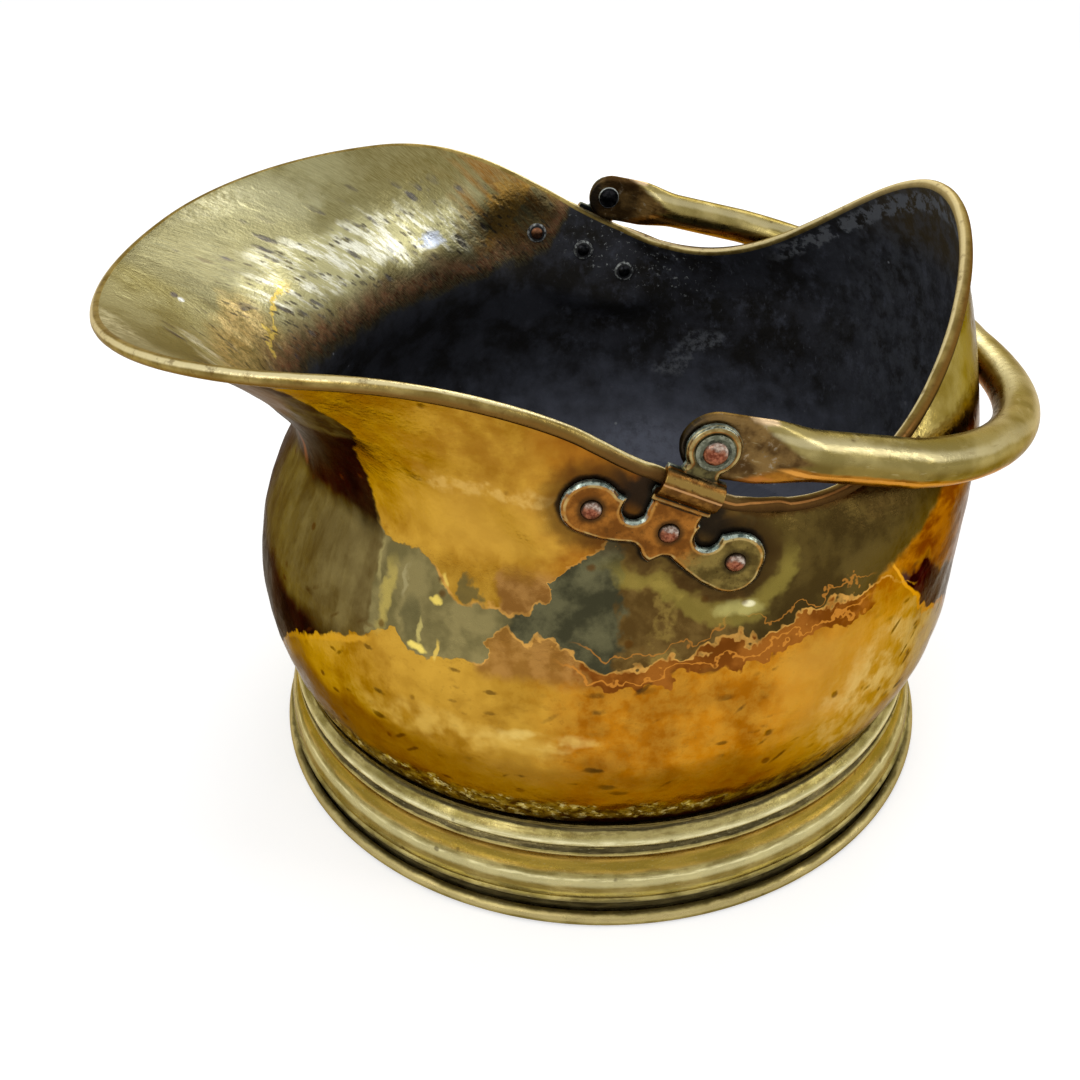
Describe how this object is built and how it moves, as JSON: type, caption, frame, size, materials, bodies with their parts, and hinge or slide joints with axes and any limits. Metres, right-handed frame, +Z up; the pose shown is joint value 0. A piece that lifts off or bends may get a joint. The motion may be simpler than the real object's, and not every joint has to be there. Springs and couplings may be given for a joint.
{
  "type": "coal scuttle",
  "caption": "Round brass coal scuttle with a wide pouring spout, a moulded spun foot ring and a swinging tubular bail handle pivoted on cast side brackets.",
  "frame": {"origin": "centre of the foot ring on the floor", "axes": "+Z up, +X from the spout to the back, +Y from the near bracket to the far one"},
  "size_m": [0.3799, 0.325, 0.249],
  "materials": {
    "bowl_brass": "old polished and slightly hammered brass with brown patina patches outside, blackened inside",
    "foot_brass": "pale worn brass with dark grooves",
    "bracket_brass": "dark brown cast brass with pale worn edges",
    "washer_brass": "dull pale brass",
    "bail_brass": "pale polished brass tube, dark brown flat ends",
    "copper": "dull pink-brown copper rivets",
    "wire_iron": "dull iron wire"
  },
  "bodies": {
    "scuttle": {"body_shell": "bowl_brass", "rim_wire": "wire_iron", "foot_ring": "foot_brass", "foot_wire": "wire_iron", "near_bracket": "bracket_brass", "far_bracket": "bracket_brass", "near_rivet_front": "copper", "near_rivet_middle": "copper", "near_rivet_back": "copper", "near_rove_front": "copper", "near_rove_middle": "copper", "near_rove_back": "copper", "far_rivet_front": "copper", "far_rivet_middle": "copper", "far_rivet_back": "copper", "far_rove_front": "copper", "far_rove_middle": "copper", "far_rove_back": "copper", "near_pivot_washer": "washer_brass", "near_pivot_spacer": "washer_brass", "near_pivot_rivet": "copper", "far_pivot_washer": "washer_brass", "far_pivot_spacer": "washer_brass", "far_pivot_rivet": "copper"},
    "bail": {"bail": "bail_brass"}
  },
  "joints": [
    {"name": "bail_swing", "type": "hinge", "parent": "scuttle", "child": "bail", "pos_m": [0.02236, 0, 0.21216], "axis": [0, -1, 0], "range_deg": [0, 172]}
  ]
}
